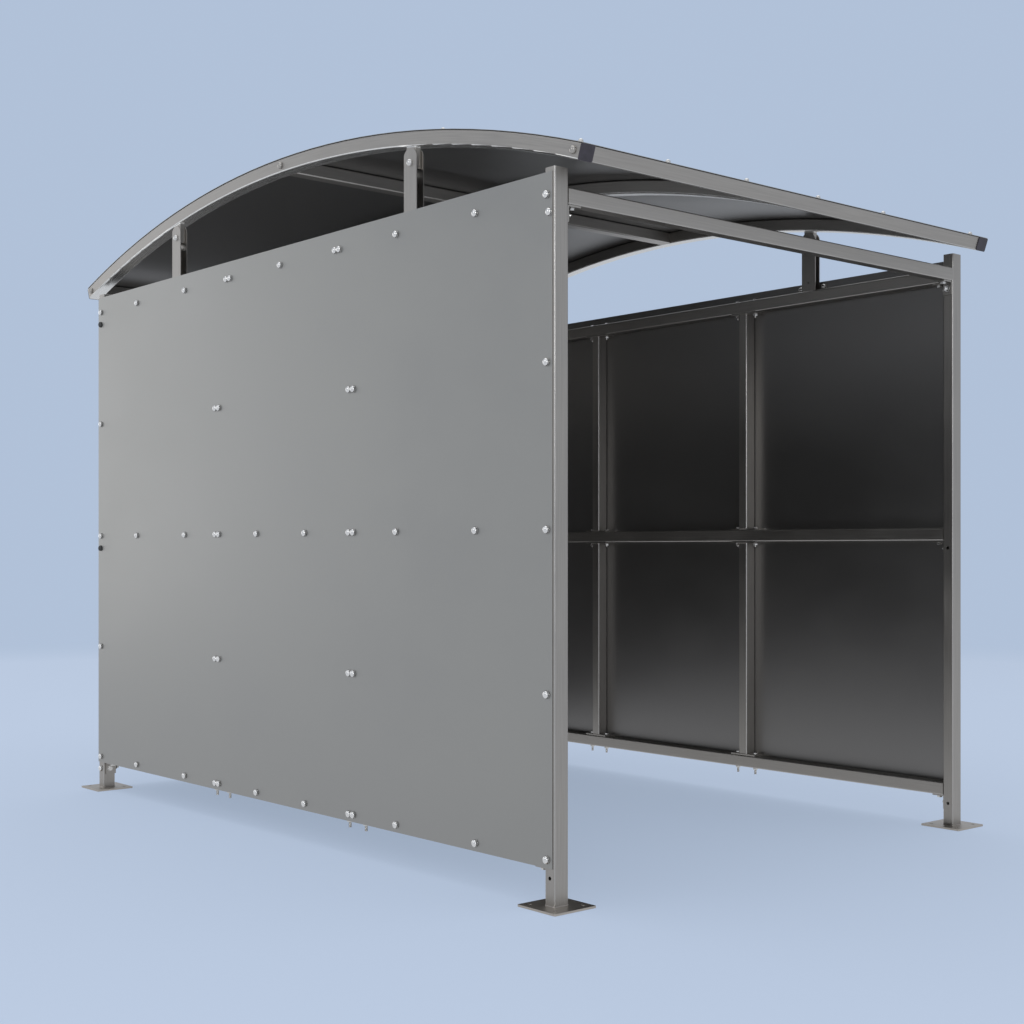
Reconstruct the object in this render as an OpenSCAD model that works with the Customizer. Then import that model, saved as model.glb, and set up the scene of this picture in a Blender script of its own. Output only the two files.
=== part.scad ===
// Three-sided bin shelter in stainless tube and sheet, with a vaulted roof.
// Millimetres, +Z up, +X to the right, the open front faces -Y, ground at Z = 0.

/* [Shelter] */
// Width over the outer faces of the posts
shelter_w = 1900; // [1500:10:2600]
// Depth over the front and rear faces of the posts
shelter_d = 2730; // [2200:10:3600]
// Height of the posts above their base plates
post_h = 1970; // [1700:10:2400]

/* [Frame tube] */
// Tube size across the shelter
tube_x = 50; // [40:1:80]
// Tube size along the shelter
tube_y = 40; // [30:1:60]
// Height of the rails and of the roof tubes
rail_h = 45; // [30:1:60]
// Wall of the tubes
tube_wall = 3; // [2:0.5:5]
// Outer corner radius of the tubes
tube_r = 5; // [3.5:0.5:8]

/* [Base plates] */
// Side of the square base plates
base_side = 150; // [120:5:200]
// Thickness of the base plates
base_t = 6; // [4:1:15]
// Spacing of the anchor holes
anchor_pitch = 100; // [90:1:150]
// Diameter of the anchor holes
anchor_d = 12; // [9:0.5:18]

/* [Wall rails] */
// Underside of the bottom rails above the base plates
low_rail_z = 100; // [80:1:200]
// Centre of the middle rails above the base plates
mid_rail_z = 1005; // [700:1:1200]
// From the post tops down to the centre of the top rails
top_rail_drop = 69; // [45:1:120]
// Distance between the two stud lines of a side wall
stud_pitch = 834; // [500:1:1100]
// Length of the stud end plates
stud_foot = 120; // [100:1:160]
// Thickness of the stud end plates
stud_foot_t = 5; // [3:1:8]

/* [Cladding] */
// Thickness of the wall sheets
sheet_t = 2; // [1:0.5:4]
// Set-back of the wall sheets from the open post faces
sheet_set = 8; // [2:1:20]
// From the post tops down to the top edge of the wall sheets
sheet_drop = 10; // [5:1:30]
// Thickness of the roof sheet
roof_t = 1.5; // [1:0.5:3]

/* [Angle brackets] */
// Leg length of the angle brackets
angle_leg = 48; // [40:1:70]
// Thickness of the angle brackets
angle_t = 5; // [3:1:8]
// Width of the angle brackets
angle_w = 32; // [20:1:40]
// From a rail's underside down to its bracket bolt
bolt_drop = 26; // [20:1:35]
// Diameter of the cross holes in the posts
post_hole_d = 11; // [8:0.5:14]

/* [Uprights] */
// Distance between the front and rear uprights
upright_pitch = 1444; // [900:1:1700]
// Channel size across the shelter
channel_x = 28; // [22:1:40]
// Channel size along the shelter
channel_y = 65; // [50:1:80]
// Wall of the channel
channel_t = 3; // [2:0.5:5]
// Gap between the ears and the arch above
ear_gap = 4; // [2:1:10]
// From the ear tops down to the pivot bolt
ear_bolt = 45; // [30:1:60]
// Diameter of the pivot bolt hole
pivot_d = 11; // [8:0.5:14]
// Length of the foot tabs past the channel
foot_tab = 34; // [25:1:50]
// Height of the foot tabs
foot_tab_h = 26; // [20:1:34]

/* [Roof] */
// Rise of the arches over their chord
arch_rise = 240; // [150:5:400]
// Overhang of the arches past the posts
overhang = 88; // [50:1:160]
// Gap between the post tops and the arch above
roof_gap = 36; // [25:1:80]
// Thickness of the end cap flanges
cap_t = 3; // [2:0.5:6]
// Depth of the end cap plugs
cap_plug = 14; // [8:1:25]
// Head diameter of the roof screws
screw_d = 16; // [10:1:20]
// Head height of the roof screws
screw_h = 5; // [3:0.5:8]
// Spacing of the ridge screws
screw_pitch = 330; // [200:5:400]

/* [Fits] */
// Gap at bolted and seated joints
seat_gap = 0.3; // [0.2:0.1:1]
// Gap around the plugs inside the tubes
plug_gap = 0.3; // [0.2:0.1:0.8]

/* [Hidden] */
$fn = 48;
arc_fn = 720;
W2 = shelter_w / 2;
D2 = shelter_d / 2;
post_cx = W2 - tube_x / 2;
post_cy = D2 - tube_y / 2;
post_top = base_t + post_h;

// Inner radius of bends, and the radii of plate, plug and lug corners
bend_r = 2;
base_r = 3;
plug_r = 1.5;
channel_inner_r = 1;
lug_r = 3;

low_z = base_t + low_rail_z + rail_h / 2;
mid_z = base_t + mid_rail_z;
top_z = post_top - top_rail_drop;
rail_zs = [low_z, mid_z, top_z];

sheet_z0 = base_t + low_rail_z;
sheet_z1 = post_top - sheet_drop;

// Arch: a circle about an axis across the shelter.
half_chord = D2 + overhang;
arch_ri = (half_chord * half_chord + arch_rise * arch_rise) / (2 * arch_rise);
arch_rm = arch_ri + rail_h / 2;
arch_ro = arch_ri + rail_h;
arch_cz = post_top + roof_gap - sqrt(arch_ri * arch_ri - post_cy * post_cy);
arch_a = asin(half_chord / arch_ri);
beam_step = asin(tube_x / 2 / arch_rm);
beam_a = arch_a - beam_step;
mid_arch_a = arch_a - 2 * beam_step - asin(seat_gap / arch_rm);
roof_ri = arch_ro + seat_gap;

// Uprights stand on the top side rails, inside the wall sheets.
upright_y = upright_pitch / 2;
upright_cx = W2 - channel_x / 2;
rail_top = top_z + rail_h / 2;
foot_t = channel_t;
foot_z = rail_top + seat_gap;
ear_top = arch_cz + sqrt(arch_ri * arch_ri - upright_y * upright_y) - ear_gap;
ear_cz = ear_top - channel_y / 2;
pivot_z = ear_top - ear_bolt;

// Lugs hang from the arches into the channels, round their pivot holes
lug_play = 14;
lug_cover = 9;
web_clear = 12;
lug_len = 200;
lug_x = channel_x - 2 * channel_t - 2 * seat_gap;
lug_y = channel_y - 2 * channel_t - lug_play;
lug_z0 = pivot_z - pivot_d - lug_cover;
web_top = lug_z0 - web_clear;

// Lip of the channel's mouth, hole in its outer flange and holes in its foot tabs
lip = 4;
flange_hole_d = 8;
flange_hole_up = 35;
tab_hole_d = 9;
tab_hole_out = 3;
tab_hole_up = 2;

// How much larger the ball of a screw head's crown is than the head
crown_extra = 2;

// How far a cut runs past the faces it opens
cut = 1;

// ---- shared shapes ----

module rounded(w, h, r) {
  square([w - 2 * r, h], center = true);
  square([w, h - 2 * r], center = true);
  for (sx = [-1, 1], sy = [-1, 1])
    translate([sx * (w / 2 - r), sy * (h / 2 - r)]) circle(r);
}

module tube2d(w, h) {
  difference() {
    rounded(w, h, tube_r);
    rounded(w - 2 * tube_wall, h - 2 * tube_wall, tube_r - tube_wall);
  }
}

// Tube along Y, its section w across and h high
module tube_along_y(w, h, len) {
  rotate([90, 0, 0]) linear_extrude(len, center = true) tube2d(w, h);
}

// Tube along X, its section w along Y and h high
module tube_along_x(w, h, len) {
  rotate([90, 0, 90]) linear_extrude(len, center = true) tube2d(w, h);
}

// Plug cap: a flange on top of the tube end at Z = 0, and a plug inside
module plug_cap(w, h) {
  linear_extrude(cap_t) rounded(w, h, tube_r);
  translate([0, 0, -cap_plug])
    linear_extrude(cap_plug + cap_t / 2)
      rounded(w - 2 * tube_wall - 2 * plug_gap, h - 2 * tube_wall - 2 * plug_gap, plug_r);
}

// Bent angle: one leg along +X on top, one leg down at X = 0, width along Y
module angle_bracket() {
  bend = angle_t + bend_r;
  rotate([90, 0, 0]) linear_extrude(angle_w, center = true) {
    translate([bend, -angle_t]) square([angle_leg - bend, angle_t]);
    translate([0, -angle_leg]) square([angle_t, angle_leg - bend]);
    intersection() {
      translate([bend, -bend]) difference() {
        circle(bend);
        circle(bend - angle_t);
      }
      translate([0, -bend]) square(bend);
    }
  }
}

// ---- posts ----

module post(sx, sy) {
  translate([sx * post_cx, sy * post_cy, 0])
    difference() {
      translate([0, 0, base_t]) linear_extrude(post_h) tube2d(tube_x, tube_y);
      for (z = rail_zs)
        translate([0, 0, z - rail_h / 2 - bolt_drop])
          rotate([0, 90, 0])
            cylinder(h = tube_x + 2 * cut, d = post_hole_d, center = true);
    }
}

module base_plate(sx, sy) {
  translate([sx * post_cx, sy * post_cy, 0])
    difference() {
      linear_extrude(base_t) rounded(base_side, base_side, base_r);
      for (ax = [-1, 1], ay = [-1, 1])
        translate([ax * anchor_pitch / 2, ay * anchor_pitch / 2, -cut])
          cylinder(h = base_t + 2 * cut, d = anchor_d);
    }
}

// ---- walls ----

module side_rail(sx, z) {
  translate([sx * post_cx, 0, z])
    tube_along_y(tube_x, rail_h, shelter_d - 2 * tube_y - 2 * seat_gap);
}

module cross_rail(sy, z) {
  translate([0, sy * post_cy, z])
    tube_along_x(tube_y, rail_h, shelter_w - 2 * tube_x - 2 * seat_gap);
}

// One stud between two rail faces: fx and fy are the size of its end plates
module stud_piece(z0, z1, fx, fy) {
  a = z0 + seat_gap;
  b = z1 - seat_gap;
  translate([0, 0, a + stud_foot_t])
    linear_extrude(b - a - 2 * stud_foot_t) tube2d(tube_x, tube_y);
  for (z = [a, b - stud_foot_t])
    translate([-fx / 2, -fy / 2, z]) cube([fx, fy, stud_foot_t]);
}

module stud_line(fx, fy) {
  stud_piece(low_z + rail_h / 2, mid_z - rail_h / 2, fx, fy);
  stud_piece(mid_z + rail_h / 2, top_z - rail_h / 2, fx, fy);
}

module side_studs(sx, sy) {
  translate([sx * post_cx, sy * stud_pitch / 2, 0]) stud_line(tube_x, stud_foot);
}

module side_sheet(sx) {
  x0 = sx > 0 ? W2 : -W2 - sheet_t;
  translate([x0, -D2 + sheet_set, sheet_z0])
    cube([sheet_t, shelter_d - sheet_set, sheet_z1 - sheet_z0]);
}

// Brackets of one side wall: under both ends of each rail
module side_brackets(sx) {
  for (z = rail_zs, sy = [-1, 1])
    translate([sx * post_cx, sy * (D2 - tube_y), z - rail_h / 2 - seat_gap])
      rotate([0, 0, -sy * 90]) translate([seat_gap, 0, 0]) angle_bracket();
}

// Brackets at both ends of the cross rails at side sy
module cross_brackets(sy, zs) {
  for (z = zs, sx = [-1, 1])
    translate([sx * (W2 - tube_x), sy * post_cy, z - rail_h / 2 - seat_gap])
      rotate([0, 0, sx > 0 ? 180 : 0]) translate([seat_gap, 0, 0]) angle_bracket();
}

// ---- uprights ----

// Channel section with its web towards +Y and its mouth towards -Y
module channel2d() {
  difference() {
    rounded(channel_x, channel_y, channel_t + channel_inner_r);
    rounded(channel_x - 2 * channel_t, channel_y - 2 * channel_t, channel_inner_r);
    translate([-channel_x / 2 + channel_t, -channel_y / 2 - cut])
      square([channel_x - 2 * channel_t, channel_y / 2]);
    for (s = [-1, 1])
      translate([s * (channel_x / 2 - channel_t / 2) - channel_t, -channel_y / 2 - cut])
        square([2 * channel_t, channel_t + lip - cut]);
  }
  for (s = [-1, 1])
    translate([s * (channel_x / 2 - channel_t / 2) - channel_t / 2, -channel_y / 2])
      square([channel_t, channel_t + lip]);
}

module upright(sx, sy) {
  translate([sx * upright_cx, sy * upright_y, 0]) {
    difference() {
      intersection() {
        translate([0, 0, foot_z]) linear_extrude(ear_top - foot_z) channel2d();
        rotate([90, 0, 90]) linear_extrude(channel_x + 2 * cut, center = true) {
          translate([0, ear_cz]) circle(channel_y / 2);
          translate([-channel_y / 2, foot_z]) square([channel_y, ear_cz - foot_z]);
        }
      }
      translate([-channel_x / 2 + channel_t, 0, web_top])
        cube([channel_x - 2 * channel_t, channel_y, ear_top]);
      translate([0, 0, pivot_z]) rotate([0, 90, 0])
        cylinder(h = channel_x + 2 * cut, d = pivot_d, center = true);
      translate([-sx * channel_x / 2, 0, foot_z + flange_hole_up]) rotate([0, 90, 0])
        cylinder(h = channel_x / 2, d = flange_hole_d, center = true);
    }
    foot(sx);
  }
}

// Foot plate on the rail, with a drilled tab each way against the wall sheet
module foot(sx) {
  reach = channel_y / 2 + foot_tab;
  translate([-channel_x / 2, -reach, foot_z]) cube([channel_x, 2 * reach, foot_t]);
  difference() {
    for (s = [-1, 1])
      translate([sx * (channel_x / 2 - foot_t / 2) - foot_t / 2,
                 s > 0 ? channel_y / 2 : -reach, foot_z])
        cube([foot_t, foot_tab, foot_tab_h]);
    for (s = [-1, 1])
      translate([sx * channel_x / 2, s * (reach - foot_tab / 2 + tab_hole_out),
                 foot_z + foot_tab_h / 2 + tab_hole_up])
        rotate([0, 90, 0]) cylinder(h = 4 * foot_t, d = tab_hole_d, center = true);
  }
}

// ---- roof ----

// Arch tube of half angle a about the arch axis, centred on X = 0
module arch_tube(a) {
  translate([0, 0, arch_cz]) rotate([0, -90, 0]) rotate([0, 0, -a])
    rotate_extrude(angle = 2 * a, $fn = arc_fn)
      translate([arch_rm, 0]) tube2d(rail_h, tube_x);
}

// Turns a piece made at the top of the arch down to angle a, front first
module at_arch(a) {
  translate([0, 0, arch_cz]) rotate([a, 0, 0]) translate([0, 0, arch_rm]) children();
}

module lug(sy) {
  intersection() {
    translate([0, sy * upright_y, lug_z0])
      difference() {
        linear_extrude(lug_len) rounded(lug_x, lug_y, lug_r);
        translate([0, 0, -cut]) linear_extrude(lug_len + 2 * cut)
          rounded(lug_x - 2 * channel_t, lug_y - 2 * channel_t, channel_inner_r);
        translate([0, 0, pivot_z - lug_z0]) rotate([0, 90, 0])
          cylinder(h = lug_x + 2 * cut, d = pivot_d, center = true);
      }
    translate([0, 0, arch_cz]) rotate([0, 90, 0])
      cylinder(h = 2 * tube_x, r = arch_ri + tube_wall / 2, center = true, $fn = arc_fn);
  }
}

module side_arch(sx) {
  translate([sx * post_cx, 0, 0]) arch_tube(arch_a);
  translate([sx * upright_cx, 0, 0]) {
    lug(-1);
    lug(1);
  }
}

module eave_beam(sy) {
  at_arch(-sy * beam_a)
    tube_along_x(tube_x, rail_h, shelter_w - 2 * tube_x - 2 * seat_gap);
}

// ---- nodes ----

module post_front_left() { color("silver") post(-1, -1); }
module post_front_right() { color("silver") post(1, -1); }
module post_rear_left() { color("silver") post(-1, 1); }
module post_rear_right() { color("silver") post(1, 1); }

module base_plate_front_left() { color("gainsboro") base_plate(-1, -1); }
module base_plate_front_right() { color("gainsboro") base_plate(1, -1); }
module base_plate_rear_left() { color("gainsboro") base_plate(-1, 1); }
module base_plate_rear_right() { color("gainsboro") base_plate(1, 1); }

module post_caps() {
  color("silver")
    for (sx = [-1, 1], sy = [-1, 1])
      translate([sx * post_cx, sy * post_cy, post_top]) plug_cap(tube_x, tube_y);
}

module rail_left_low() { color("darkgray") side_rail(-1, low_z); }
module rail_left_mid() { color("darkgray") side_rail(-1, mid_z); }
module rail_left_top() { color("darkgray") side_rail(-1, top_z); }
module rail_right_low() { color("darkgray") side_rail(1, low_z); }
module rail_right_mid() { color("darkgray") side_rail(1, mid_z); }
module rail_right_top() { color("darkgray") side_rail(1, top_z); }
module rail_rear_low() { color("darkgray") cross_rail(1, low_z); }
module rail_rear_mid() { color("darkgray") cross_rail(1, mid_z); }
module rail_rear_top() { color("darkgray") cross_rail(1, top_z); }
module lintel_front() { color("silver") cross_rail(-1, top_z); }

module studs_left_front() { color("gray") side_studs(-1, -1); }
module studs_left_rear() { color("gray") side_studs(-1, 1); }
module studs_right_front() { color("gray") side_studs(1, -1); }
module studs_right_rear() { color("gray") side_studs(1, 1); }
module studs_rear() { color("gray") translate([0, post_cy, 0]) stud_line(stud_foot, tube_y); }

module sheet_left() { color("slategray") side_sheet(-1); }
module sheet_right() { color("slategray") side_sheet(1); }
module sheet_rear() {
  color("slategray")
    translate([-W2 + sheet_set, D2, sheet_z0])
      cube([shelter_w - 2 * sheet_set, sheet_t, sheet_z1 - sheet_z0]);
}

module brackets_left() { color("goldenrod") side_brackets(-1); }
module brackets_right() { color("goldenrod") side_brackets(1); }
module brackets_rear() { color("goldenrod") cross_brackets(1, rail_zs); }
module brackets_lintel() { color("goldenrod") cross_brackets(-1, [top_z]); }

module upright_left_front() { color("steelblue") upright(-1, -1); }
module upright_left_rear() { color("steelblue") upright(-1, 1); }
module upright_right_front() { color("steelblue") upright(1, -1); }
module upright_right_rear() { color("steelblue") upright(1, 1); }

module arch_left() { color("lightsteelblue") side_arch(-1); }
module arch_mid() { color("lightsteelblue") arch_tube(mid_arch_a); }
module arch_right() { color("lightsteelblue") side_arch(1); }

module arch_caps() {
  color("black")
    for (sx = [-1, 1], sy = [-1, 1])
      translate([sx * post_cx, 0, 0]) at_arch(-sy * arch_a)
        rotate([-sy * 90, 0, 0]) plug_cap(tube_x, rail_h);
}

module beam_front() { color("silver") eave_beam(-1); }
module beam_rear() { color("silver") eave_beam(1); }
module beam_ridge() {
  span = W2 - tube_x - tube_x / 2 - 2 * seat_gap;
  color("silver")
    for (s = [-1, 1])
      translate([s * (tube_x / 2 + seat_gap + span / 2), 0, arch_cz + arch_rm])
        tube_along_x(tube_x, rail_h, span);
}

module roof_sheet() {
  color("whitesmoke")
    translate([0, 0, arch_cz]) rotate([0, -90, 0]) rotate([0, 0, -arch_a])
      rotate_extrude(angle = 2 * arch_a, $fn = arc_fn)
        translate([roof_ri, -W2]) square([roof_t, shelter_w]);
}

module ridge_screws() {
  n = floor((shelter_w / 2 - tube_x) / screw_pitch);
  color("dimgray")
    for (i = [-n : n])
      translate([i * screw_pitch, 0, arch_cz + roof_ri + roof_t])
        rotate_extrude() intersection() {
          translate([0, screw_h - screw_d / 2 - crown_extra]) circle(screw_d / 2 + crown_extra);
          square([screw_d / 2, screw_h]);
        }
}

post_front_left();
post_front_right();
post_rear_left();
post_rear_right();
base_plate_front_left();
base_plate_front_right();
base_plate_rear_left();
base_plate_rear_right();
post_caps();
rail_left_low();
rail_left_mid();
rail_left_top();
rail_right_low();
rail_right_mid();
rail_right_top();
rail_rear_low();
rail_rear_mid();
rail_rear_top();
lintel_front();
studs_left_front();
studs_left_rear();
studs_right_front();
studs_right_rear();
studs_rear();
sheet_left();
sheet_right();
sheet_rear();
brackets_left();
brackets_right();
brackets_rear();
brackets_lintel();
upright_left_front();
upright_left_rear();
upright_right_front();
upright_right_rear();
arch_left();
arch_mid();
arch_right();
arch_caps();
beam_front();
beam_ridge();
beam_rear();
roof_sheet();
ridge_screws();
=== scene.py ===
"""Looks of the bin shelter: steel finishes, bolts, nuts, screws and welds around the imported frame."""
import math

import bmesh
import bpy
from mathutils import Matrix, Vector


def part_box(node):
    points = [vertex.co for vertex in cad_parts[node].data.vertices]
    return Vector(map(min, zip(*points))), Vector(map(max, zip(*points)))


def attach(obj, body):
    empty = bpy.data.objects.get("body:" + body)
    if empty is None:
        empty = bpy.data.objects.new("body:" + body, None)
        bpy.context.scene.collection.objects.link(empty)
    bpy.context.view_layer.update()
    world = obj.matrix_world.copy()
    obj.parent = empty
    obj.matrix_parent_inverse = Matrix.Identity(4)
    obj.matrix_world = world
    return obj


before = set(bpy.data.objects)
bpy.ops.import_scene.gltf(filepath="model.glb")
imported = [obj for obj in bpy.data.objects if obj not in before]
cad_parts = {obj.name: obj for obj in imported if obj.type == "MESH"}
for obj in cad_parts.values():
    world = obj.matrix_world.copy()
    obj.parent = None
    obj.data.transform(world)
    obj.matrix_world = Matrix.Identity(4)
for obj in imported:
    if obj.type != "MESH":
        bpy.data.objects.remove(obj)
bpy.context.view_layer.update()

LEFT, RIGHT = -1, 1
SIDES = {"left": LEFT, "right": RIGHT}
X, Y, Z = Vector((1, 0, 0)), Vector((0, 1, 0)), Vector((0, 0, 1))


def middle(node):
    """Centre of a CAD node's box."""
    lo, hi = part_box(node)
    return (lo + hi) / 2


# Circle of the roof sheet's outer face about an axis across the shelter, and the arches' inner radius
roof_points = [v.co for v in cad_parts["roof_sheet"].data.vertices]
eave = max(roof_points, key=lambda p: p.y)
apex = max(p.z for p in roof_points)
sagitta = apex - eave.z
ROOF_R = (eave.y ** 2 + sagitta ** 2) / (2 * sagitta)
ROOF_CZ = apex - ROOF_R
lo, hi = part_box("rail_left_top")
ARCH_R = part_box("arch_mid")[1].z - (hi.z - lo.z) - ROOF_CZ


# ---- materials ----


def new_material(name):
    """A material with its node tree emptied but for the shader and output."""
    m = bpy.data.materials.new(name)
    m.use_nodes = True
    return m, m.node_tree, m.node_tree.nodes["Principled BSDF"]


def math_node(tree, kind, a, b, clamp=False):
    """One Math node; a and b are sockets or numbers."""
    m = tree.nodes.new("ShaderNodeMath")
    m.operation = kind
    m.use_clamp = clamp
    for socket, value in zip(m.inputs, (a, b)):
        if isinstance(value, (int, float)):
            socket.default_value = value
        else:
            tree.links.new(value, socket)
    return m.outputs["Value"]


def rise(tree, value, zero_at, one_at):
    """Smooth step of value, 0 at zero_at and 1 at one_at."""
    r = tree.nodes.new("ShaderNodeMapRange")
    r.interpolation_type = "SMOOTHSTEP"
    r.inputs["From Min"].default_value = zero_at
    r.inputs["From Max"].default_value = one_at
    tree.links.new(value, r.inputs["Value"])
    return r.outputs["Result"]


def vector_math(tree, kind, a, b=None):
    """One Vector Math node of the socket a and, where it takes one, the constant b."""
    v = tree.nodes.new("ShaderNodeVectorMath")
    v.operation = kind
    tree.links.new(a, v.inputs[0])
    if b is not None:
        v.inputs[1].default_value = b
    return v.outputs["Value" if kind in ("LENGTH", "DOT_PRODUCT") else "Vector"]


def separate(tree, vector):
    """The X, Y and Z outputs of a vector."""
    parts = tree.nodes.new("ShaderNodeSeparateXYZ")
    tree.links.new(vector, parts.inputs["Vector"])
    return parts.outputs


def straight_place(tree):
    """Place in the frame's own coordinates."""
    return tree.nodes.new("ShaderNodeTexCoord").outputs["Object"]


def arch_place(tree):
    """Place on an arch: across the shelter, round the arch's axis, and out from its inner radius."""
    at = straight_place(tree)
    parts = separate(tree, at)
    up = math_node(tree, "SUBTRACT", parts["Z"], ROOF_CZ)
    turn = math_node(tree, "ARCTAN2", parts["Y"], up)
    across = vector_math(tree, "MULTIPLY", vector_math(tree, "SUBTRACT", at, Z * ROOF_CZ), Y + Z)
    place = tree.nodes.new("ShaderNodeCombineXYZ")
    tree.links.new(parts["X"], place.inputs["X"])
    tree.links.new(math_node(tree, "MULTIPLY", turn, ARCH_R), place.inputs["Y"])
    outward = math_node(tree, "SUBTRACT", vector_math(tree, "LENGTH", across), ARCH_R)
    tree.links.new(outward, place.inputs["Z"])
    return place.outputs["Vector"]


def noise(tree, stretch, detail=3.0, roughness=0.55, place=straight_place):
    """Noise over a place, with stretch cells per metre along each axis."""
    mapping = tree.nodes.new("ShaderNodeMapping")
    mapping.inputs["Scale"].default_value = stretch
    tree.links.new(place(tree), mapping.inputs["Vector"])
    n = tree.nodes.new("ShaderNodeTexNoise")
    n.inputs["Scale"].default_value = 1.0
    n.inputs["Detail"].default_value = detail
    n.inputs["Roughness"].default_value = roughness
    tree.links.new(mapping.outputs["Vector"], n.inputs["Vector"])
    return n.outputs["Fac"]


def ramp(tree, fac, low, high, start=0.3, end=0.7):
    """Colour between low and high as fac goes from start to end."""
    r = tree.nodes.new("ShaderNodeValToRGB")
    r.color_ramp.elements[0].position = start
    r.color_ramp.elements[1].position = end
    r.color_ramp.elements[0].color = (*low, 1)
    r.color_ramp.elements[1].color = (*high, 1)
    tree.links.new(fac, r.inputs["Fac"])
    return r.outputs["Color"]


def spread(tree, fac, low, high):
    """Number from low to high as fac goes from 0.3 to 0.7."""
    r = tree.nodes.new("ShaderNodeMapRange")
    r.inputs["From Min"].default_value = 0.3
    r.inputs["From Max"].default_value = 0.7
    r.inputs["To Min"].default_value = low
    r.inputs["To Max"].default_value = high
    tree.links.new(fac, r.inputs["Value"])
    return r.outputs["Result"]


def mix(tree, a, b, share, kind="MIX"):
    m = tree.nodes.new("ShaderNodeMix")
    m.data_type = "RGBA"
    m.blend_type = kind
    m.inputs["Factor"].default_value = share
    tree.links.new(a, m.inputs["A"])
    tree.links.new(b, m.inputs["B"])
    return m.outputs["Result"]


def add(tree, a, b):
    return math_node(tree, "ADD", a, b)


def bump(tree, shader, height, strength, distance):
    b = tree.nodes.new("ShaderNodeBump")
    b.inputs["Strength"].default_value = strength
    b.inputs["Distance"].default_value = distance
    tree.links.new(height, b.inputs["Height"])
    tree.links.new(b.outputs["Normal"], shader.inputs["Normal"])


def shades(colour, depth):
    """The colour a little darker and a little lighter."""
    return [c * (1 - depth) for c in colour], [min(1, c * (1 + depth)) for c in colour]


def rounded_corner(tree):
    """1 on a tube's rounded corners, where the normal lies between the axes, and 0 on its flats: the mask of the
    painted corner highlight.
    """
    normal = tree.nodes.new("ShaderNodeNewGeometry").outputs["Normal"]
    parts = separate(tree, vector_math(tree, "ABSOLUTE", normal))
    largest = math_node(tree, "MAXIMUM", parts["X"], parts["Y"])
    largest = math_node(tree, "MAXIMUM", largest, parts["Z"])
    return rise(tree, largest, 0.86, 0.75)


def arch_underside(tree):
    """1 on the undersides of the arches and their lower corners, and 0 on the lugs below them: the band of the
    arches' painted highlight line.
    """
    outward = separate(tree, arch_place(tree))["Z"]
    return math_node(tree, "MULTIPLY", rise(tree, outward, 0.0050, 0.0040), rise(tree, outward, -0.0030, -0.0020))


def steel(name, colour, rough, grain, lines=320, depth=0.08, corner=rounded_corner, highlight_level=0.58,
          place=straight_place):
    """Brushed steel: fine lines run along the axis grain, over slow clouds of tone and gloss; a painted highlight,
    lighter and glossier, lies on the corner mask.
    """
    m, tree, shader = new_material(name)
    along = 6
    stretch = [along if axis == grain else lines for axis in "xyz"]
    brush = noise(tree, stretch, detail=2, place=place)
    clouds = noise(tree, (3.2, 3.2, 3.2), detail=4)
    low, high = shades(colour, depth)
    tone = ramp(tree, brush, low, high)
    cloudy = ramp(tree, clouds, (0.92, 0.92, 0.93), (1, 1, 1))
    flats = mix(tree, tone, cloudy, 1.0, "MULTIPLY")
    # Painted highlight: on the corner mask the base colour is lighter and the roughness lower, standing in for the
    # light lines that rounded corners reflect.
    highlight_colour = ramp(tree, brush, *shades([highlight_level, highlight_level * 0.99, highlight_level * 0.96], 0.08))
    painted_highlight = corner(tree)
    whole = mix(tree, flats, highlight_colour, 1.0)
    tree.links.new(painted_highlight, whole.node.inputs["Factor"])
    tree.links.new(whole, shader.inputs["Base Color"])
    fine = spread(tree, brush, rough - 0.04, rough + 0.04)
    slow = spread(tree, clouds, -0.04, 0.05)
    highlight_gloss = math_node(tree, "MULTIPLY", painted_highlight, -0.14)
    tree.links.new(add(tree, add(tree, fine, slow), highlight_gloss), shader.inputs["Roughness"])
    shader.inputs["Metallic"].default_value = 1.0
    bump(tree, shader, brush, 0.05, 0.0004)
    return m


def facing(tree, outward):
    """0 on faces that look away from outward, and 1 on the faces along it and on the edges."""
    normal = tree.nodes.new("ShaderNodeNewGeometry").outputs["Normal"]
    return math_node(tree, "GREATER_THAN", vector_math(tree, "DOT_PRODUCT", normal, outward), -0.5)


def satin_sheet(name, colour, inner_colour, rough, outward):
    """Sheet with a satin grey outer face and a dark inner face, faint blotches and fine speckle."""
    m, tree, shader = new_material(name)
    speckle = noise(tree, (900, 900, 900), detail=2)
    blotches = noise(tree, (1.4, 1.4, 2.2), detail=5, roughness=0.6)
    outer = ramp(tree, speckle, *shades(colour, 0.05))
    inner = ramp(tree, speckle, *shades(inner_colour, 0.12))
    two_faced = mix(tree, inner, outer, 1.0)
    tree.links.new(facing(tree, outward), two_faced.node.inputs["Factor"])
    cloudy = ramp(tree, blotches, (0.94, 0.94, 0.95), (1, 1, 1))
    tree.links.new(mix(tree, two_faced, cloudy, 1.0, "MULTIPLY"), shader.inputs["Base Color"])
    tree.links.new(spread(tree, blotches, rough - 0.03, rough + 0.04), shader.inputs["Roughness"])
    shader.inputs["Metallic"].default_value = 1.0
    bump(tree, shader, speckle, 0.06, 0.0003)
    return m


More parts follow.
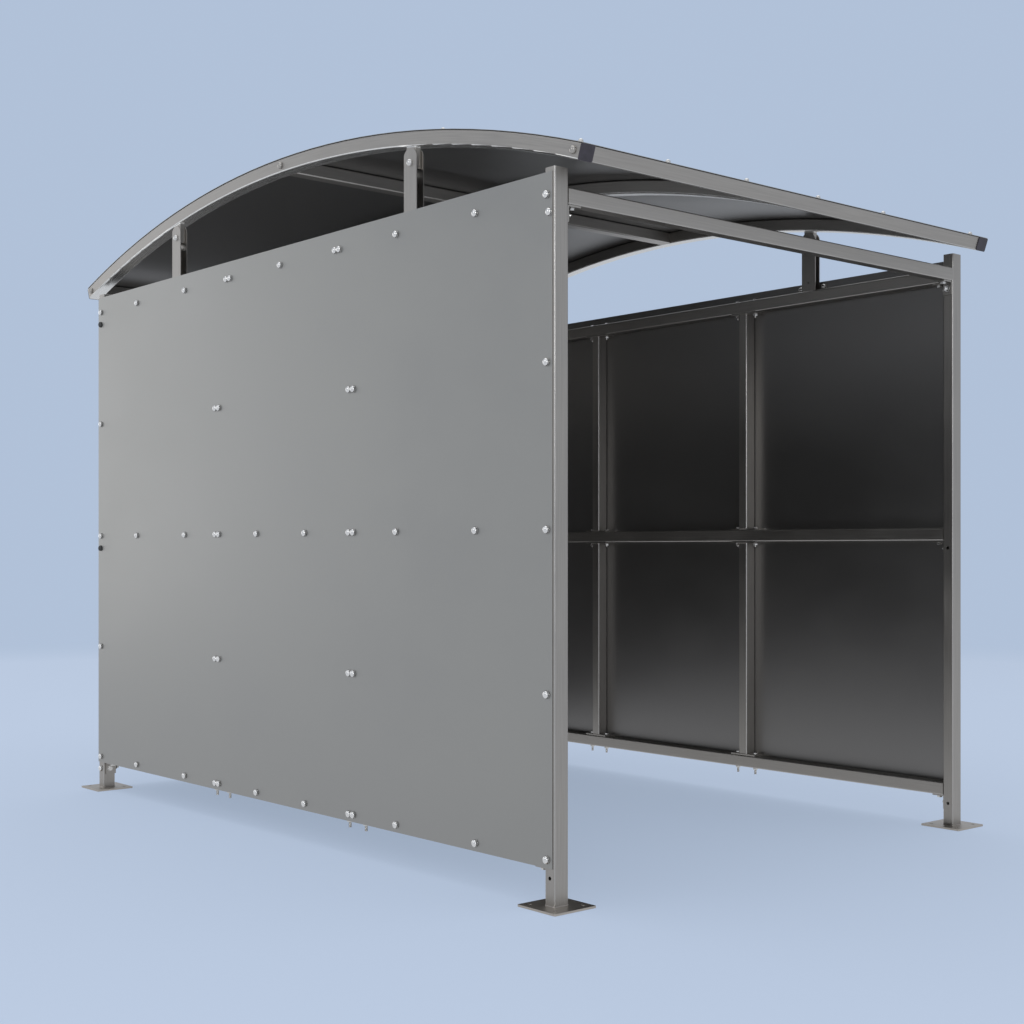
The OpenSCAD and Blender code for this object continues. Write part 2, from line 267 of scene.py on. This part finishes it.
def bright_metal(name, colour, rough, axis=None):
    """Fasteners with light handling marks; heads that point along axis get painted shade round the rim."""
    m, tree, shader = new_material(name)
    marks = noise(tree, (260, 260, 260), detail=4)
    low, high = shades(colour, 0.1)
    metal = ramp(tree, marks, low, high)
    if axis is not None:
        # Painted shade: rim facets that turn away from axis are darkened, standing in for the shaded edge of each
        # dome head.
        normal = tree.nodes.new("ShaderNodeNewGeometry").outputs["Normal"]
        along = math_node(tree, "ABSOLUTE", vector_math(tree, "DOT_PRODUCT", normal, axis), 0)
        metal = mix(tree, metal, ramp(tree, marks, *shades(PAINTED_RIM_SHADE, 0.2)), 1.0)
        tree.links.new(rise(tree, along, 0.62, 0.25), metal.node.inputs["Factor"])
    tree.links.new(metal, shader.inputs["Base Color"])
    tree.links.new(spread(tree, marks, rough - 0.04, rough + 0.08), shader.inputs["Roughness"])
    shader.inputs["Metallic"].default_value = 1.0
    bump(tree, shader, marks, 0.05, 0.0003)
    return m


def moulded_plastic(name, colour, rough):
    """Moulded end caps: near black, with a fine spark-eroded grain."""
    m, tree, shader = new_material(name)
    grain = noise(tree, (1500, 1500, 1500), detail=2)
    dust = noise(tree, (40, 40, 40), detail=3)
    low, high = shades(colour, 0.3)
    tree.links.new(ramp(tree, dust, low, high), shader.inputs["Base Color"])
    tree.links.new(spread(tree, dust, rough - 0.05, rough + 0.08), shader.inputs["Roughness"])
    bump(tree, shader, grain, 0.25, 0.0002)
    return m


PAINTED_RIM_SHADE = (0.100, 0.097, 0.092)
TUBE_COLOUR = (0.440, 0.418, 0.388)
SHEET_COLOUR = (0.405, 0.400, 0.380)
WALL_INNER_COLOUR = (0.300, 0.292, 0.284)
ROOF_INNER_COLOUR = (0.190, 0.186, 0.182)
# Tubes, plates and brackets get a painted highlight on their rounded corners; the arches get a brighter one along
# their undersides.
TUBES = {axis: steel(f"tube_{axis}", TUBE_COLOUR, 0.40, axis) for axis in "xyz"}
ARCH = steel("arch_tube", TUBE_COLOUR, 0.40, "y", corner=arch_underside, highlight_level=0.80, place=arch_place)
PLATE = steel("ground_plate", (0.52, 0.48, 0.43), 0.40, "x")
BRACKET = steel("bent_plate", (0.42, 0.40, 0.37), 0.36, "z")
WALLS = {
    "sheet_left": satin_sheet("wall_sheet_left", SHEET_COLOUR, WALL_INNER_COLOUR, 0.38, -X),
    "sheet_right": satin_sheet("wall_sheet_right", SHEET_COLOUR, WALL_INNER_COLOUR, 0.38, X),
    "sheet_rear": satin_sheet("wall_sheet_rear", SHEET_COLOUR, WALL_INNER_COLOUR, 0.38, Y),
    "roof_sheet": satin_sheet("roof_skin", SHEET_COLOUR, ROOF_INNER_COLOUR, 0.34, Z),
}
CAP = moulded_plastic("end_cap", (0.040, 0.034, 0.044), 0.42)
STAINLESS = bright_metal("stainless_fastener", (0.72, 0.71, 0.69), 0.15)
# Side and rear bolts: dome heads with painted shade round their rims.
SIDE_BOLT = bright_metal("side_bolt", (0.86, 0.85, 0.83), 0.13, X)
REAR_BOLT = bright_metal("rear_bolt", (0.86, 0.85, 0.83), 0.13, Y)
DULL = bright_metal("dull_fastener", (0.46, 0.44, 0.41), 0.28)
BLACK = bright_metal("black_fastener", (0.09, 0.09, 0.09), 0.38)
WELD = bright_metal("weld_bead", (0.40, 0.37, 0.34), 0.34)


def finish_of(node):
    """The material of a CAD node, its brushing along the tube."""
    if node == "arch_caps":
        return CAP
    if node.startswith("arch"):
        return ARCH
    if node.startswith("base_plate"):
        return PLATE
    if node.startswith("brackets"):
        return BRACKET
    if node in WALLS:
        return WALLS[node]
    if node == "ridge_screws":
        return STAINLESS
    if node.startswith(("post", "studs", "upright")):
        return TUBES["z"]
    if node.startswith(("rail_rear", "lintel", "beam")):
        return TUBES["x"]
    return TUBES["y"]


for node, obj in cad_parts.items():
    obj.data.materials.clear()
    obj.data.materials.append(finish_of(node))


# ---- small fittings ----


class Fittings:
    """Gathers many small turned or swept shapes into one mesh that rides on the frame."""

    def __init__(self, name, material, slot):
        self.name, self.material, self.slot = name, material, slot
        self.bm = bmesh.new()

    def ring_skin(self, rings, closed=False):
        """Faces between rings of vertices; a ring of one vertex is a tip."""
        pairs = list(zip(rings, rings[1:] + rings[:1])) if closed else list(zip(rings, rings[1:]))
        for a, b in pairs:
            n = max(len(a), len(b))
            for i in range(n):
                j = (i + 1) % n
                corners = [a[i % len(a)], a[j % len(a)], b[j % len(b)], b[i % len(b)]]
                self.bm.faces.new(list(dict.fromkeys(corners)))

    def turned(self, profile, at, axis, steps=24):
        """A closed solid of revolution: profile is (radius, height) from its base to its tip."""
        turn = Z.rotation_difference(axis)
        rings = []
        for radius, height in profile:
            count = 1 if radius == 0 else steps
            ring = []
            for i in range(count):
                a = 2 * math.pi * i / count
                p = Vector((radius * math.cos(a), radius * math.sin(a), height))
                ring.append(self.bm.verts.new(Vector(at) + turn @ p))
            rings.append(ring)
        self.ring_skin(rings)

    def bead(self, path, radius, ripple, sides=8):
        """A weld bead along a closed path, its ripples ripple apart."""
        n = len(path)
        travelled = 0
        rings = []
        for i, p in enumerate(path):
            along = (path[(i + 1) % n] - path[i - 1]).normalized()
            across = along.cross(Z).normalized()
            travelled += (path[i] - path[i - 1]).length
            r = radius * (1 + 0.14 * math.sin(2 * math.pi * travelled / ripple))
            ring = []
            for k in range(sides):
                a = 2 * math.pi * k / sides
                ring.append(self.bm.verts.new(p + across * r * math.cos(a) + Z * r * math.sin(a)))
            rings.append(ring)
        self.ring_skin(rings, closed=True)

    def done(self):
        bmesh.ops.recalc_face_normals(self.bm, faces=self.bm.faces)
        mesh = bpy.data.meshes.new(self.name)
        self.bm.to_mesh(mesh)
        self.bm.free()
        mesh.shade_smooth()
        mesh.set_sharp_from_angle(angle=math.radians(38))
        mesh.materials.append(self.material)
        obj = bpy.data.objects.new(self.name, mesh)
        bpy.context.scene.collection.objects.link(obj)
        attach(obj, "root")
        return obj


HEAD_R, HEAD_H = 0.0113, 0.0092
WASHER_R, WASHER_T = 0.0109, 0.0008
NUT_R, NUT_H = 0.0098, 0.0080
THREAD_R, THREAD_PITCH = 0.0048, 0.0015


def washer(radius=WASHER_R, thick=WASHER_T):
    edge = 0.0003
    return [(0, 0), (radius - edge, 0), (radius, edge), (radius, thick - edge), (radius - edge, thick), (0, thick)]


def dome(radius=HEAD_R, height=HEAD_H, lift=WASHER_T):
    """Button head: a short straight rim, then a quarter ellipse to its top."""
    rim = height * 0.12
    arc = [math.radians(a) for a in range(0, 90, 10)]
    crown = [(radius * math.cos(a), lift + rim + (height - rim) * math.sin(a)) for a in arc]
    return [(0, lift), (radius * 0.94, lift), *crown, (0, lift + height)]


def hexagon(radius=NUT_R, height=NUT_H, lift=WASHER_T):
    cut = height * 0.12
    return [
        (0, lift), (radius * 0.93, lift), (radius, lift + cut), (radius, lift + height - cut),
        (radius * 0.93, lift + height), (0, lift + height),
    ]


def thread(length, radius=THREAD_R):
    """Threaded end of a bolt, one ridge a pitch."""
    turns = int(length / THREAD_PITCH)
    ridges = []
    for i in range(turns):
        ridges += [(radius * 0.86, i * THREAD_PITCH), (radius, (i + 0.5) * THREAD_PITCH)]
    return [(0, 0), *ridges, (radius * 0.75, turns * THREAD_PITCH), (0, turns * THREAD_PITCH)]


def dome_bolt(kit, at, axis):
    kit.turned(washer(), at, axis)
    kit.turned(dome(), at, axis)


def nut(kit, at, axis, tail=0.010):
    """Washer, nut and the bolt's end standing out of it."""
    kit.turned(washer(), at, axis)
    kit.turned(hexagon(), at, axis, steps=6)
    kit.turned(thread(WASHER_T + NUT_H + tail), at, axis, steps=14)


def hex_bolt(kit, at, axis):
    kit.turned(washer(), at, axis)
    kit.turned(hexagon(height=0.0062), at, axis, steps=6)


# Wall sheets: rows of dome bolts along the rails, singles up the edges, pairs at the studs
EDGE_INSET = 0.023
PAIR_GAP = 0.024
ROW_OUTER, ROW_INNER, ROW_NEAR, TOP_PAIR = 1.032, 0.654, 0.150, 0.340


def pair(centre):
    return [centre - PAIR_GAP / 2, centre + PAIR_GAP / 2]


def row_places(level, first, last, stud_lines):
    """Places along one rail, from the middle of the wall outward."""
    places = [first, last]
    for s in (-1, 1):
        places += [s * ROW_OUTER, s * ROW_INNER]
        if level == "top":
            places += pair(s * TOP_PAIR)
        else:
            places += [s * ROW_NEAR]
    if level == "top":
        places.append(0)
    else:
        for line in stud_lines:
            places += pair(line)
    return places


def between(a, b):
    return (a + b) / 2


for side, s in SIDES.items():
    kit = Fittings(f"bolts_sheet_{side}", SIDE_BOLT, "screw")
    lo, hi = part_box(f"sheet_{side}")
    face = hi.x if s > 0 else lo.x
    first, last = lo.y + EDGE_INSET, hi.y - EDGE_INSET
    stud_lines = [middle(f"studs_{side}_{end}").y for end in ("front", "rear")]
    rows = {level: middle(f"rail_{side}_{level}").z for level in ("low", "mid", "top")}
    for level, z in rows.items():
        for y in row_places(level, first, last, stud_lines):
            dome_bolt(kit, (face, y, z), X * s)
    for z in (between(rows["low"], rows["mid"]), between(rows["mid"], rows["top"])):
        for y in [first, last, *pair(stud_lines[0]), *pair(stud_lines[1])]:
            dome_bolt(kit, (face, y, z), X * s)
    kit.done()

REAR_EDGE, REAR_OUTER, REAR_NEAR = 0.030, 0.620, 0.300
kit = Fittings("bolts_sheet_rear", REAR_BOLT, "screw")
lo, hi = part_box("sheet_rear")
rear_edges = [lo.x + REAR_EDGE, hi.x - REAR_EDGE]
rows = {level: middle(f"rail_rear_{level}").z for level in ("low", "mid", "top")}
for z in rows.values():
    for x in [*rear_edges, -REAR_OUTER, REAR_OUTER, -REAR_NEAR, REAR_NEAR, *pair(0)]:
        dome_bolt(kit, (x, hi.y, z), Y)
for z in (between(rows["low"], rows["mid"]), between(rows["mid"], rows["top"])):
    for x in [*rear_edges, *pair(0)]:
        dome_bolt(kit, (x, hi.y, z), Y)
kit.done()


# Cross bolts through the posts, which hold the brackets of the lintel and of the rear rails
BOLT_DROP = 0.026
kit = Fittings("bolts_lintel", SIDE_BOLT, "screw")
black = Fittings("bolts_rear_posts", BLACK, "cap")
for side, s in SIDES.items():
    lo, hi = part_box(f"post_front_{side}")
    sheet_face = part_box(f"sheet_{side}")[0 if s < 0 else 1].x
    inner = lo.x if s > 0 else hi.x
    angle_t = 0.0055
    y = middle(f"post_front_{side}").y
    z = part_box("lintel_front")[0].z - BOLT_DROP
    dome_bolt(kit, (sheet_face, y, z), X * s)
    nut(kit, (inner - s * angle_t, y, z), -X * s)
    y = middle(f"post_rear_{side}").y
    for level in ("mid", "top"):
        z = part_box(f"rail_rear_{level}")[0].z - BOLT_DROP
        dome_bolt(black, (sheet_face, y, z), X * s)
        nut(kit, (inner - s * angle_t, y, z), -X * s)
    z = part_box("rail_rear_low")[0].z - BOLT_DROP
    dome_bolt(kit, (inner + s * 0.050, y, z), X * s)
    nut(kit, (inner - s * angle_t, y, z), -X * s)
kit.done()
black.done()


# Angle brackets: one bolt up into the rail, one into the post
LEG_REACH = 0.029
kit = Fittings("bolts_brackets", STAINLESS, "screw")
for side, s in SIDES.items():
    x = middle(f"post_front_{side}").x
    for level in ("low", "mid", "top"):
        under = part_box(f"rail_{side}_{level}")[0].z
        lo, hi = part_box(f"rail_{side}_{level}")
        for end, sy in ((lo.y, -1), (hi.y, 1)):
            hex_bolt(kit, (x, end - sy * LEG_REACH, under - 0.0055), -Z)
            hex_bolt(kit, (x, end - sy * 0.0052, under - BOLT_DROP), -Y * sy)
for node in ("lintel_front", "rail_rear_low", "rail_rear_mid", "rail_rear_top"):
    lo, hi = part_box(node)
    for end, sx in ((lo.x, -1), (hi.x, 1)):
        hex_bolt(kit, (end - sx * LEG_REACH, between(lo.y, hi.y), lo.z - 0.0055), -Z)
kit.done()


# Stud end plates: bolts through the rails
STUD_BOLT = 0.044
PLATE_T = 0.0053
kit = Fittings("bolts_studs", STAINLESS, "screw")


def stud_bolts(x, y, along, rails):
    """The through bolts of one stud line, along the wall each way from it."""
    for step in (-STUD_BOLT, STUD_BOLT):
        at = Vector((x, y, 0)) + along * step
        for level, (lo, hi) in rails.items():
            top = hi.z + (0 if level == "top" else PLATE_T)
            under = lo.z - (0 if level == "low" else PLATE_T)
            hex_bolt(kit, at + Z * top, Z)
            nut(kit, at + Z * under, -Z, tail=0.019 if level == "low" else 0.008)


for side in SIDES:
    rails = {level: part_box(f"rail_{side}_{level}") for level in ("low", "mid", "top")}
    for end in ("front", "rear"):
        c = middle(f"studs_{side}_{end}")
        stud_bolts(c.x, c.y, Y, rails)
c = middle("studs_rear")
stud_bolts(c.x, c.y, X, {level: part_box(f"rail_rear_{level}") for level in ("low", "mid", "top")})
kit.done()


# Uprights: pivot bolts through the ears, and screws in the foot tabs
EAR_BOLT = 0.045
TAB_INSET = 0.014
TAB_UP = 0.015
kit = Fittings("bolts_uprights", STAINLESS, "screw")
for side, s in SIDES.items():
    for end in ("front", "rear"):
        lo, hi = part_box(f"upright_{side}_{end}")
        outer, inner = (hi.x, lo.x) if s > 0 else (lo.x, hi.x)
        y = between(lo.y, hi.y)
        dome_bolt(kit, (outer, y, hi.z - EAR_BOLT), X * s)
        nut(kit, (inner, y, hi.z - EAR_BOLT), -X * s, tail=0.006)
        for y in (lo.y + TAB_INSET, hi.y - TAB_INSET):
            dome_bolt(kit, (outer - s * 0.003, y, lo.z + TAB_UP), -X * s)
kit.done()


# Roof: screws into the arches and eave beams
EAVE_FIRST, EAVE_PITCH, EAVE_LAST = -0.93, 0.33, 0.88


def roof_place(x, y, drop=0.0):
    """Point on the roof at that x and y, drop under its outer face, and the way out of it."""
    out = Vector((0, y, math.sqrt(ROOF_R ** 2 - y ** 2))).normalized()
    return Vector((x, 0, ROOF_CZ)) + out * (ROOF_R - drop), out


def roof_screw(kit, at, axis):
    kit.turned(washer(0.0085, 0.0012), at, axis)
    kit.turned(dome(0.0070, 0.0072, 0.0012), at, axis, steps=16)


kit = Fittings("roof_screws", STAINLESS, "screw")
arch_x = abs(middle("rail_left_top").x)
for beam in ("beam_front", "beam_rear"):
    c = middle(beam)
    beam_y = ROOF_R * c.y / math.hypot(c.y, c.z - ROOF_CZ)
    for x in [*(EAVE_FIRST + EAVE_PITCH * i for i in range(5)), EAVE_LAST]:
        at, out = roof_place(x, beam_y)
        roof_screw(kit, at, out)
for x in (-arch_x, 0, arch_x):
    for y in (-0.85, -0.394, 0.394, 0.85):
        at, out = roof_place(x, y)
        roof_screw(kit, at, out)
kit.done()

kit = Fittings("bolts_arches", DULL, "screw")
for side, s in SIDES.items():
    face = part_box(f"arch_{side}")[0 if s < 0 else 1].x
    for beam in ("beam_front", "beam_ridge", "beam_rear"):
        c = middle(beam)
        dome_bolt(kit, (face, c.y, c.z), X * s)
kit.done()


# ---- welds ----


def rectangle_path(centre, half_x, half_y, r, step=0.0022):
    """Closed path round a rounded rectangle, at about step apart."""
    points = []
    for quarter, (cx, cy) in enumerate(((1, 1), (-1, 1), (-1, -1), (1, -1))):
        corner = Vector((centre.x + cx * (half_x - r), centre.y + cy * (half_y - r), centre.z))
        for k in range(5):
            a = math.radians(90 * quarter + 22.5 * k)
            points.append(corner + Vector((math.cos(a), math.sin(a), 0)) * r)
    path = []
    for a, b in zip(points, points[1:] + points[:1]):
        n = max(1, round((b - a).length / step))
        path += [a.lerp(b, i / n) for i in range(n)]
    return path


WELD_R = 0.0022
welds = Fittings("welds_posts", WELD, "tube")
for corner in ("front_left", "front_right", "rear_left", "rear_right"):
    lo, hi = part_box(f"post_{corner}")
    foot = Vector((between(lo.x, hi.x), between(lo.y, hi.y), lo.z))
    welds.bead(rectangle_path(foot, (hi.x - lo.x) / 2, (hi.y - lo.y) / 2, 0.005), WELD_R, 0.005)
welds.done()

STUD_X, STUD_Y = 0.025, 0.020
welds = Fittings("welds_studs", WELD, "tube")


def stud_welds(c, rails):
    heights = [
        rails["low"][1].z + PLATE_T, rails["mid"][0].z - PLATE_T,
        rails["mid"][1].z + PLATE_T, rails["top"][0].z - PLATE_T,
    ]
    for z in heights:
        path = rectangle_path(Vector((c.x, c.y, z)), STUD_X, STUD_Y, 0.005, step=0.004)
        welds.bead(path, 0.0017, 0.012, sides=6)


for side in SIDES:
    rails = {level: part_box(f"rail_{side}_{level}") for level in ("low", "mid", "top")}
    for end in ("front", "rear"):
        stud_welds(middle(f"studs_{side}_{end}"), rails)
stud_welds(middle("studs_rear"), {level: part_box(f"rail_rear_{level}") for level in ("low", "mid", "top")})
welds.done()


# ---- stage, light and camera ----

PALE_BLUE = (0.440, 0.535, 0.690)
PALE_GREY = (0.500, 0.530, 0.580)
FLOOR_GREY = (0.640, 0.655, 0.680)
SOFT_WHITE = (1.0, 0.99, 0.97)
AMBIENT = 0.75


def shiny_rays(tree):
    path = tree.nodes.new("ShaderNodeLightPath")
    shiny = math_node(tree, "ADD", path.outputs["Is Glossy Ray"], path.outputs["Is Transmission Ray"], True)
    return path.outputs["Is Camera Ray"], shiny


def background(tree, colour, strength=1.0):
    b = tree.nodes.new("ShaderNodeBackground")
    b.inputs["Color"].default_value = (*colour, 1)
    b.inputs["Strength"].default_value = strength
    return b


def mix_shader(tree, fac, a, b):
    m = tree.nodes.new("ShaderNodeMixShader")
    tree.links.new(fac, m.inputs["Fac"])
    tree.links.new(a, m.inputs[1])
    tree.links.new(b, m.inputs[2])
    return m.outputs["Shader"]


world = bpy.data.worlds.new("studio")
world.use_nodes = True
bpy.context.scene.world = world
tree = world.node_tree
tree.nodes.clear()
ambient = background(tree, SOFT_WHITE, AMBIENT)
backdrop = background(tree, PALE_BLUE)
mirrored = background(tree, PALE_GREY)
camera_ray, shiny_ray = shiny_rays(tree)
lit = mix_shader(tree, shiny_ray, ambient.outputs["Background"], mirrored.outputs["Background"])
shown = mix_shader(tree, camera_ray, lit, backdrop.outputs["Background"])
output = tree.nodes.new("ShaderNodeOutputWorld")
tree.links.new(shown, output.inputs["Surface"])

# Floor: lit near the shelter, fading into the backdrop's own colour far away
FLOOR_HALF, FADE_FROM, FADE_TO = 60.0, 3.5, 11.0
FLOOR_BLUE = (0.680, 0.785, 0.985)
BACKDROP_SHARE, MIRRORED_SHARE = 0.70, 0.85
floor_mesh = bpy.data.meshes.new("floor")
corner = [(-1, -1), (1, -1), (1, 1), (-1, 1)]
floor_mesh.from_pydata([(x * FLOOR_HALF, y * FLOOR_HALF, -0.0005) for x, y in corner], [], [(0, 1, 2, 3)])
floor = bpy.data.objects.new("floor", floor_mesh)
bpy.context.scene.collection.objects.link(floor)
floor_material, tree, shader = new_material("pale_floor")
shader.inputs["Base Color"].default_value = (*FLOOR_BLUE, 1)
shader.inputs["Roughness"].default_value = 0.75
shader.inputs["Specular IOR Level"].default_value = 0.15
at = tree.nodes.new("ShaderNodeTexCoord")
distance = tree.nodes.new("ShaderNodeVectorMath")
distance.operation = "LENGTH"
tree.links.new(at.outputs["Object"], distance.inputs[0])
fade = tree.nodes.new("ShaderNodeMapRange")
fade.interpolation_type = "SMOOTHSTEP"
fade.inputs["From Min"].default_value = FADE_FROM
fade.inputs["From Max"].default_value = FADE_TO
tree.links.new(distance.outputs["Value"], fade.inputs["Value"])
far = tree.nodes.new("ShaderNodeEmission")
far.inputs["Color"].default_value = (*PALE_BLUE, 1)
mirrored = tree.nodes.new("ShaderNodeEmission")
mirrored.inputs["Color"].default_value = (*FLOOR_GREY, 1)
camera_ray, shiny_ray = shiny_rays(tree)
seen = math_node(tree, "MULTIPLY", camera_ray, BACKDROP_SHARE)
seen = math_node(tree, "MAXIMUM", seen, fade.outputs["Result"])
blend = mix_shader(tree, seen, shader.outputs["BSDF"], far.outputs["Emission"])
reflected = math_node(tree, "MULTIPLY", shiny_ray, MIRRORED_SHARE)
blend = mix_shader(tree, reflected, blend, mirrored.outputs["Emission"])
tree.links.new(blend, tree.nodes["Material Output"].inputs["Surface"])
floor_mesh.materials.append(floor_material)


def softbox(name, at, aim, width, height, watts):
    """A large rectangular area lamp turned towards aim."""
    data = bpy.data.lights.new(name, "AREA")
    data.shape = "RECTANGLE"
    data.size, data.size_y = width, height
    data.energy = watts
    data.color = SOFT_WHITE
    lamp = bpy.data.objects.new(name, data)
    lamp.visible_camera = False
    lamp.location = at
    lamp.rotation_mode = "QUATERNION"
    lamp.rotation_quaternion = (Vector(aim) - Vector(at)).to_track_quat("-Z", "Y")
    bpy.context.scene.collection.objects.link(lamp)


MID = Vector((0, 0, 1.1))
softbox("softbox_rear_left", (-2.8, 11.5, 2.0), MID, 9.0, 8.0, 155)
softbox("softbox_camera", (-7.2, -7.6, 3.4), MID, 2.0, 2.6, 75)
softbox("softbox_left", (-9.0, 1.0, 5.0), MID, 5.0, 5.0, 60)
softbox("softbox_top", (0, 0, 8.0), MID, 9.0, 9.0, 190)
softbox("softbox_front_right", (5.0, -8.5, 4.5), MID, 6.0, 6.0, 14)

CAMERA_AT = Vector((-3.665, -4.366, 0.959))
CAMERA_AZIMUTH = -40.525
CAMERA_LENS = 53.52
CAMERA_SHIFT = 0.0362
camera_data = bpy.data.cameras.new("camera")
camera_data.sensor_width = 36
camera_data.lens = CAMERA_LENS
camera_data.shift_y = CAMERA_SHIFT
camera = bpy.data.objects.new("camera", camera_data)
camera.location = CAMERA_AT
camera.rotation_euler = (math.radians(90), 0, math.radians(CAMERA_AZIMUTH))
bpy.context.scene.collection.objects.link(camera)
bpy.context.scene.camera = camera
bpy.context.scene.view_settings.view_transform = "Standard"
